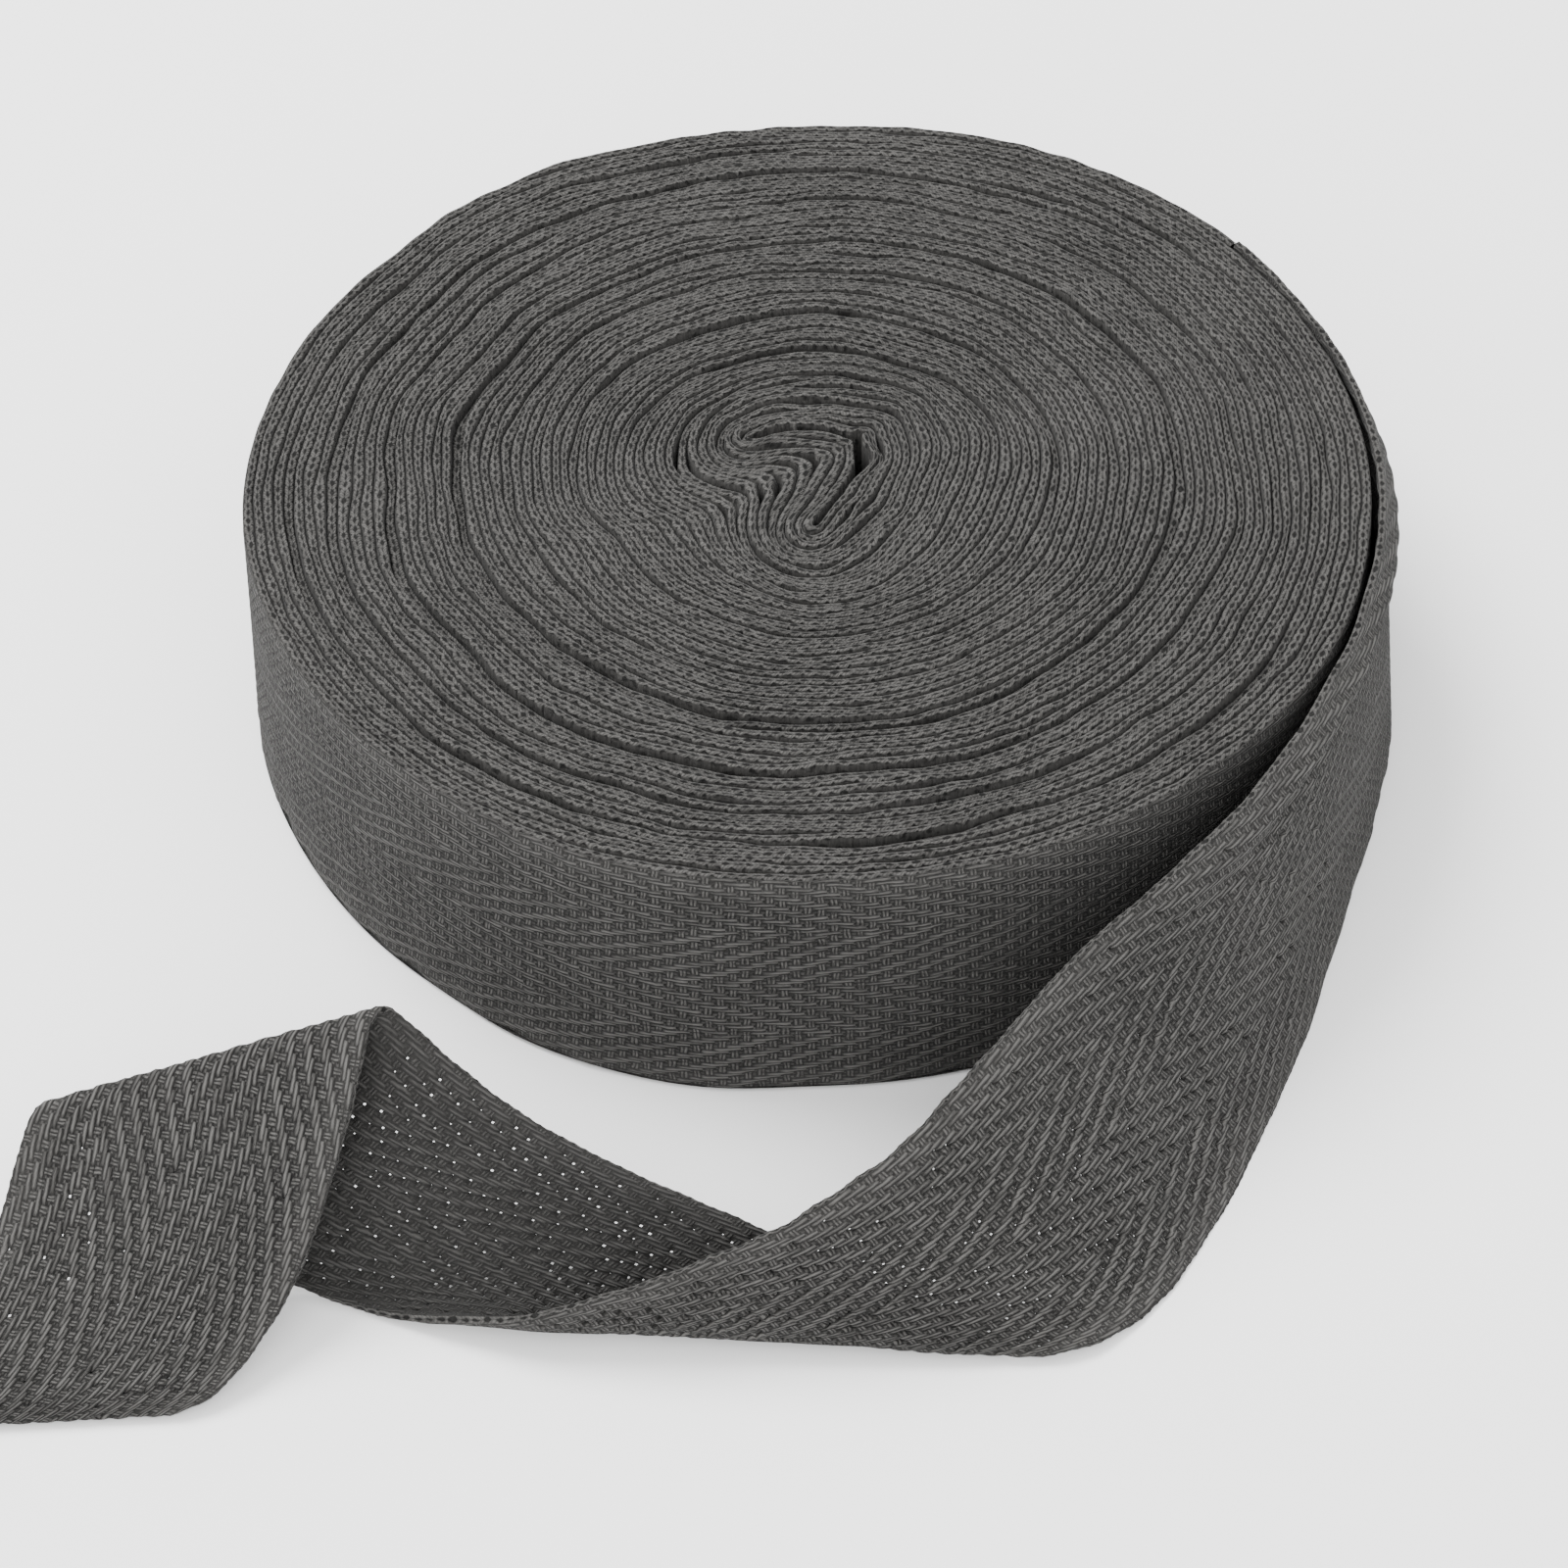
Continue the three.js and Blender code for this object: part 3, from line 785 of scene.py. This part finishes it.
def selvedge_lines(base, pick, centre, normal, across):
    """Two lines along each selvedge, which round its stitched edge."""
    scallop = SELVEDGE_SCALLOP * np.cos(2 * np.pi * pick[:, 0]) + waves(base, "selvedge")
    half = CLOTH_THICKNESS / 2
    lines = []
    for j, out in ((0, -1), (-1, 1)):
        bulge = (SELVEDGE_BULGE + scallop)[:, None] * out * across[:, j]
        for f in SELVEDGE_LINES:
            lines.append(centre[:, j] + bulge - f * half * SELVEDGE_HEIGHT * normal[:, j])
    return lines


def tape_groups(pick, ends, holes):
    """The sheet's faces: outside, back, stitched selvedges, cut ends and the pinholes' walls."""
    rows, wide = pick.shape
    count = rows * wide
    keep = np.ones((rows - 1, wide - 1), dtype=bool)
    for m, j in holes:
        keep[m, j] = False
    keep = keep.ravel()
    face = grid_quads(rows, wide, flip=True)[keep]
    back = grid_quads(rows, wide, first=count)[keep]
    outer_uv = np.stack([pick, ends], -1).reshape(-1, 2)
    inner_uv = np.stack([pick + 2, ends + BACK_ENDS], -1).reshape(-1, 2)
    blank = np.zeros((4 * rows, 2))
    face_uv = np.concatenate([outer_uv, outer_uv, blank])
    back_uv = np.concatenate([inner_uv, inner_uv, blank])
    row = np.arange(rows)
    strips = []
    chain_uv = np.zeros(face_uv.shape)
    for side, j in enumerate((0, wide - 1)):
        first = 2 * count + 2 * side * rows
        runs = [row * wide + j, first + row, first + rows + row, count + row * wide + j]
        for f, run in zip((-1, *SELVEDGE_LINES, 1), runs):
            chain_uv[run, 0] = pick[:, j]
            chain_uv[run, 1] = f
        for a, b in zip(runs[:-1], runs[1:]):
            strip = np.stack([a[:-1], a[1:], b[1:], b[:-1]], 1)
            strips.append(strip if side else strip[:, ::-1])
    cuts = []
    cell = np.arange(wide - 1)
    for m, flip in ((0, False), (rows - 1, True)):
        a = m * wide + cell
        strip = np.stack([a, a + 1, count + a + 1, count + a], 1)
        cuts.append(strip[:, ::-1] if flip else strip)
        for side, j in enumerate((0, wide - 1)):
            first = 2 * count + 2 * side * rows
            quad = np.array([[m * wide + j, first + m, first + rows + m, count + m * wide + j]])
            cuts.append(quad if flip == bool(side) else quad[:, ::-1])
    walls = []
    for m, j in holes:
        ring = [m * wide + j, m * wide + j + 1, (m + 1) * wide + j + 1, (m + 1) * wide + j]
        walls += [[b, a, count + a, count + b] for a, b in zip(ring, ring[1:] + ring[:1])]
    return [
        (face, face_uv, 0),
        (back, back_uv, 0),
        (np.concatenate(strips), chain_uv, 1),
        (np.concatenate(cuts), face_uv, 0),
        (np.array(walls), face_uv, 0),
    ]


def add_loose_end(winding, materials):
    v = np.linspace(0, 1, ENDS + 1)
    base, reach, centre = tape_grid(v)
    centre, normal, across = shape_tape(base, v, centre)
    pick = (winding.length + reach) / PICK
    ends = np.broadcast_to(v * ENDS, pick.shape)
    half = CLOTH_THICKNESS / 2
    outer_rise = half + twill_relief(pick, ends)
    inner_rise = half + twill_relief(pick + 2, ends)
    for rise in (outer_rise, inner_rise):
        rise[:, [0, -1]] = half * SELVEDGE_SHARE
    holes = pick_pinholes(reach, v, pick, ends)
    slide = np.zeros(centre.shape)
    for m, j in holes:
        corners = centre[m : m + 2, j : j + 2]
        pull = rng.uniform(*PINHOLE_PULL)
        slide[m : m + 2, j : j + 2] = (corners.mean((0, 1)) - corners) * pull
        outer_rise[m : m + 2, j : j + 2] = PINHOLE_RISE
        inner_rise[m : m + 2, j : j + 2] = PINHOLE_RISE
    outer = centre + slide + normal * outer_rise[..., None]
    inner = centre + slide - normal * inner_rise[..., None]
    sides = selvedge_lines(base, pick, centre, normal, across)
    points = np.concatenate([outer.reshape(-1, 3), inner.reshape(-1, 3)] + sides)
    points[:, 2] = np.maximum(points[:, 2], LOWEST)
    return make_piece("tape_end", points, tape_groups(pick, ends, holes), materials)


# Materials


class Graph:
    """Short names for building a material's nodes."""

    def __init__(self, name):
        self.material = bpy.data.materials.new(name)
        self.material.use_nodes = True
        self.tree = self.material.node_tree
        self.tree.nodes.clear()
        out = self.tree.nodes.new("ShaderNodeOutputMaterial")
        self.shader = self.tree.nodes.new("ShaderNodeBsdfPrincipled")
        self.tree.links.new(self.shader.outputs[0], out.inputs["Surface"])

    def put(self, socket, value):
        if isinstance(value, bpy.types.NodeSocket):
            self.tree.links.new(value, socket)
        else:
            socket.default_value = value

    def math(self, operation, *values, clamp=False):
        node = self.tree.nodes.new("ShaderNodeMath")
        node.operation = operation
        node.use_clamp = clamp
        for socket, value in zip(node.inputs, values):
            self.put(socket, value)
        return node.outputs[0]

    def add(self, a, b):
        return self.math("ADD", a, b)

    def sub(self, a, b):
        return self.math("SUBTRACT", a, b)

    def mul(self, a, b):
        return self.math("MULTIPLY", a, b)

    def pick(self, which, if_zero, if_one):
        """if_one where which is one, if_zero where it is zero, and a mix between."""
        node = self.tree.nodes.new("ShaderNodeMix")
        node.data_type = "FLOAT"
        self.put(node.inputs[0], which)
        self.put(node.inputs[2], if_zero)
        self.put(node.inputs[3], if_one)
        return node.outputs[0]

    def step(self, value, low, high, to_low=0.0, to_high=1.0):
        node = self.tree.nodes.new("ShaderNodeMapRange")
        node.interpolation_type = "SMOOTHSTEP"
        self.put(node.inputs["Value"], value)
        ranges = {"From Min": low, "From Max": high, "To Min": to_low, "To Max": to_high}
        for name, number in ranges.items():
            node.inputs[name].default_value = number
        return node.outputs[0]

    def uv(self):
        node = self.tree.nodes.new("ShaderNodeUVMap")
        node.uv_map = "Cloth"
        split = self.tree.nodes.new("ShaderNodeSeparateXYZ")
        self.tree.links.new(node.outputs[0], split.inputs[0])
        return split.outputs[0], split.outputs[1]

    def joined(self, x, y):
        node = self.tree.nodes.new("ShaderNodeCombineXYZ")
        for socket, value in zip(node.inputs, (x, y)):
            self.put(socket, value)
        return node.outputs[0]

    def place(self):
        return self.tree.nodes.new("ShaderNodeTexCoord").outputs["Object"]

    def noise(self, vector, scale, detail=2.0, rough=0.5):
        node = self.tree.nodes.new("ShaderNodeTexNoise")
        self.put(node.inputs["Vector"], vector)
        node.inputs["Scale"].default_value = scale
        node.inputs["Detail"].default_value = detail
        node.inputs["Roughness"].default_value = rough
        return node.outputs[0]

    def bump(self, height, distance, strength=1.0):
        node = self.tree.nodes.new("ShaderNodeBump")
        node.inputs["Strength"].default_value = strength
        node.inputs["Distance"].default_value = distance
        self.put(node.inputs["Height"], height)
        return node.outputs[0]

    def colour(self, share, dark, light):
        node = self.tree.nodes.new("ShaderNodeMix")
        node.data_type = "RGBA"
        self.put(node.inputs[0], share)
        node.inputs[6].default_value = (*dark, 1.0)
        node.inputs[7].default_value = (*light, 1.0)
        return node.outputs[2]

    def finish(self, colour, normal):
        self.tree.links.new(colour, self.shader.inputs["Base Color"])
        self.tree.links.new(normal, self.shader.inputs["Normal"])
        self.shader.inputs["Roughness"].default_value = CLOTH_ROUGHNESS
        self.shader.inputs["Specular IOR Level"].default_value = CLOTH_SPECULAR
        self.shader.inputs["Sheen Weight"].default_value = CLOTH_SHEEN
        self.shader.inputs["Sheen Roughness"].default_value = SHEEN_ROUGHNESS
        return self.material


def woven_material():
    g = Graph("twill_face")
    place = g.place()
    u, v = g.uv()
    drift = g.sub(g.noise(place, 900.0, 1.0), 0.5)
    drift_across = g.sub(g.noise(g.joined(g.mul(u, 0.5), g.mul(v, 0.5)), 1.4, 1.0), 0.5)
    u = g.add(u, g.mul(drift, 0.35))
    v = g.add(v, g.mul(drift_across, 0.55))
    end = g.math("FLOOR", v)
    across = g.sub(v, end)
    zigzag = g.math("PINGPONG", end, float(BAND_ENDS))
    rising = g.math("LESS_THAN", g.math("FLOORED_MODULO", end, 2.0 * BAND_ENDS), float(BAND_ENDS))
    q = g.math("FLOORED_MODULO", g.add(u, zigzag), 4.0)
    under = g.math("GREATER_THAN", q, 2.0)
    # Window: where the pick's strands show over two ends, in a rim that dips the bump and is painted
    # shade in the colour
    in_pick = g.sub(g.math("FRACT", u), 0.5)
    turned = g.pick(rising, g.sub(1.0, across), across)
    span = g.sub(g.add(g.sub(g.math("FLOOR", q), 2.0), turned), 1.0)
    off = g.math(
        "MAXIMUM",
        g.math("DIVIDE", g.math("ABSOLUTE", in_pick), WINDOW_HALF_PICK),
        g.math("DIVIDE", g.math("ABSOLUTE", span), WINDOW_HALF_SPAN),
    )
    off = g.pick(under, 9.0, off)
    window = g.step(off, 0.90, 1.02, 1.0, 0.0)
    rim_dip_and_shade = g.mul(g.step(off, 0.84, 1.0), g.step(off, 1.02, 1.30, 1.0, 0.0))
    corner = g.add(g.mul(g.math("ABSOLUTE", in_pick), 1.5), g.mul(g.math("ABSOLUTE", span), 0.59))
    rim_dip_and_shade = g.mul(rim_dip_and_shade, g.step(corner, 0.70, 1.0, 0.45, 1.0))
    strokes = g.math("ABSOLUTE", g.math("SINE", g.mul(in_pick, math.pi / STRAND_SPACING)))
    uneven = g.noise(g.joined(g.mul(u, 1.3), g.mul(v, 1.1)), 1.0, 1.0)
    weft = g.mul(strokes, g.step(uneven, 0.3, 0.7, 0.42, 1.02))
    weft = g.mul(weft, g.sub(1.0, g.mul(g.mul(span, span), 0.35)))
    # Float: a strand that slants across its end with the yarn's twist, lower where it dives, where its
    # colour takes painted shade
    back = g.math("GREATER_THAN", v, BACK_FROM)
    slant = g.mul(g.sub(q, 1.0), g.pick(back, FLOAT_SLANT, -FLOAT_SLANT))
    ridge = g.sub(g.sub(g.mul(across, 2.0), 1.0), slant)
    domed = g.math("MAXIMUM", g.sub(1.0, g.mul(g.mul(ridge, ridge), 0.95)), 0.0)
    yarn = g.math("POWER", domed, 1.5)
    lit = g.noise(g.joined(g.mul(g.add(u, zigzag), 0.25), g.mul(end, 3.7)), 1.0, 1.0)
    strands = g.step(lit, 0.30, 0.70, 0.55, 1.25)
    away = g.math("MINIMUM", g.math("ABSOLUTE", g.sub(q, 1.0)), 1.0)
    dome = g.pick(under, g.sub(1.0, g.mul(g.math("POWER", away, 3.0), 0.40)), 0.42)
    warp = g.mul(g.mul(yarn, strands), dome)
    height = g.mul(g.pick(window, warp, weft), g.sub(1.0, g.mul(rim_dip_and_shade, 0.9)))
    # Fibres along each yarn
    warp_fibre = g.noise(g.joined(g.mul(u, 1.8), g.mul(v, 6.0)), 1.0, 3.0, 0.75)
    weft_fibre = g.noise(g.joined(g.mul(u, 14.0), g.mul(v, 0.9)), 1.0, 3.0, 0.7)
    fibre = g.pick(window, warp_fibre, weft_fibre)
    patches = g.noise(place, 60.0, 2.0)
    lint = g.step(g.noise(place, LINT_SCALE, 1.0), *LINT_FROM)
    # The colour follows the relief: painted shade where the weave lies low, in the rims, where floats
    # dive and between the weft's strands
    share = g.add(g.mul(height, 0.95), g.mul(g.sub(fibre, 0.5), 1.5))
    share = g.add(share, g.mul(g.sub(patches, 0.5), 0.22))
    share = g.add(share, g.mul(lint, LINT_SHARE))
    share = g.math("POWER", g.math("ADD", share, FACE_LIFT, clamp=True), TONE_POWER)
    # Towards its selvedges the tape is a little lighter
    from_top = g.math("FLOORED_MODULO", v, float(BACK_ENDS))
    from_edge = g.math("MINIMUM", from_top, g.sub(float(ENDS), from_top))
    share = g.add(share, g.mul(g.step(from_edge, *SELVEDGE_ZONE, 1.0, 0.0), SELVEDGE_LIGHTER))
    # The back is painted darker and flatter, as painted shade of the tape's inner face
    share = g.pick(back, share, g.add(g.mul(share, BACK_SHADE_CONTRAST), BACK_SHADE_LIFT))
    normal = g.bump(g.add(height, g.mul(fibre, 0.35)), FACE_BUMP)
    return g.finish(g.colour(share, DARK_YARN, LIGHT_YARN), normal)


def edge_material():
    g = Graph("twill_edge")
    place = g.place()
    u, w = g.uv()
    u = g.add(u, g.mul(g.sub(g.noise(place, 700.0, 1.0), 0.5), 0.35))
    w = g.add(w, g.mul(g.sub(g.noise(place, 1100.0, 1.0), 0.5), 0.55))
    side = g.math("ABSOLUTE", w)
    vary = g.noise(g.joined(g.mul(u, 0.8), g.mul(w, 0.7)), 1.0, 1.0)
    bright = g.step(vary, 0.30, 0.70, 0.72, 1.28)
    in_stitch = g.mul(g.sub(g.math("FRACT", u), 0.5), 2.0)
    # Two legs that bow round the hole of each stitch and meet between stitches
    bow = g.step(g.noise(g.joined(g.mul(u, 0.7), 3.0), 1.0, 1.0), 0.3, 0.7, 0.16, 0.50)
    leg_line = g.add(g.mul(g.sub(1.0, g.mul(in_stitch, in_stitch)), bow), 0.20)
    off = g.math("DIVIDE", g.sub(side, leg_line), 0.36)
    leg = g.math("MAXIMUM", g.sub(1.0, g.mul(off, off)), 0.0)
    twist = g.add(g.mul(u, 3.0), g.mul(side, -1.4))
    strand = g.add(g.mul(g.math("ABSOLUTE", g.math("SINE", g.mul(twist, math.pi))), 0.35), 0.65)
    height = g.mul(g.math("SQRT", leg), strand)
    fibre = g.noise(g.joined(g.mul(twist, 2.0), g.mul(w, 4.0)), 1.0, 3.0, 0.7)
    patches = g.noise(place, 90.0, 2.0)
    lint = g.step(g.noise(place, LINT_SCALE, 1.0), *LINT_FROM)
    # Below the stitches the turn shows its woven face
    face = g.step(side, 0.70, 0.84)
    picks = g.math("ABSOLUTE", g.math("SINE", g.mul(u, 2 * math.pi)))
    height = g.pick(face, g.mul(height, bright), g.add(g.mul(picks, 0.08), 0.36))
    gap = g.step(side, 0.92, 1.0)
    # The colour follows the relief: painted shade in the stitches' holes between the legs
    share = g.add(g.mul(height, 0.85), g.mul(g.sub(fibre, 0.5), 0.8))
    share = g.add(share, g.mul(g.sub(patches, 0.5), 0.35))
    share = g.add(share, g.mul(lint, LINT_SHARE))
    # Painted shade in the gap between turns
    share = g.sub(share, g.mul(gap, 0.25))
    share = g.math("POWER", g.math("ADD", share, EDGE_LIFT, clamp=True), TONE_POWER)
    normal = g.bump(g.add(height, g.mul(fibre, 0.3)), EDGE_BUMP)
    return g.finish(g.colour(share, DARK_YARN, EDGE_YARN), normal)


def floor_material():
    g = Graph("pale_floor")
    grain = g.noise(g.place(), 40.0, 3.0)
    normal = g.bump(grain, FLOOR_BUMP, FLOOR_BUMP_STRENGTH)
    dark, light = FLOOR_GREYS
    g.tree.links.new(g.colour(grain, (dark,) * 3, (light,) * 3), g.shader.inputs["Base Color"])
    g.tree.links.new(normal, g.shader.inputs["Normal"])
    g.shader.inputs["Roughness"].default_value = FLOOR_ROUGHNESS
    return g.material


# Floor and light


def add_floor():
    mesh = bpy.data.meshes.new("floor")
    s = FLOOR_HALF
    mesh.from_pydata([(-s, -s, 0), (s, -s, 0), (s, s, 0), (-s, s, 0)], [], [(0, 1, 2, 3)])
    floor = bpy.data.objects.new("floor", mesh)
    bpy.context.collection.objects.link(floor)
    mesh.materials.append(floor_material())


def add_light(name, place, size, power):
    data = bpy.data.lights.new(name, "AREA")
    data.shape = "DISK"
    data.size = size
    data.energy = power
    light = bpy.data.objects.new(name, data)
    bpy.context.collection.objects.link(light)
    back = np.array(place) / np.linalg.norm(place)
    right = np.cross([0.0, 1.0, 0.0], back)
    right /= np.linalg.norm(right)
    up = np.cross(back, right)
    rows = [[right[i], up[i], back[i], place[i]] for i in range(3)]
    light.matrix_world = Matrix(rows + [[0.0, 0.0, 0.0, 1.0]])


def add_lights():
    for light in LIGHTS:
        add_light(light["name"], light["place"], light["size"], light["power"])
    world = bpy.data.worlds.new("studio")
    world.use_nodes = True
    sky = world.node_tree.nodes["Background"]
    sky.inputs["Color"].default_value = (1.0, 1.0, 1.0, 1.0)
    sky.inputs["Strength"].default_value = SKY_STRENGTH
    bpy.context.scene.world = world


add_camera()
add_floor()
add_lights()
edge = edge_material()
woven = woven_material()
winding = Winding()
roll_pieces = add_turn_edges(winding, [edge]) + [add_wall(winding, [woven])]
tape_end = add_loose_end(winding, [woven, edge])
for piece in roll_pieces:
    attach(piece, "root")
    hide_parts("wound_roll")
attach(tape_end, "root")
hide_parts("loose_end")
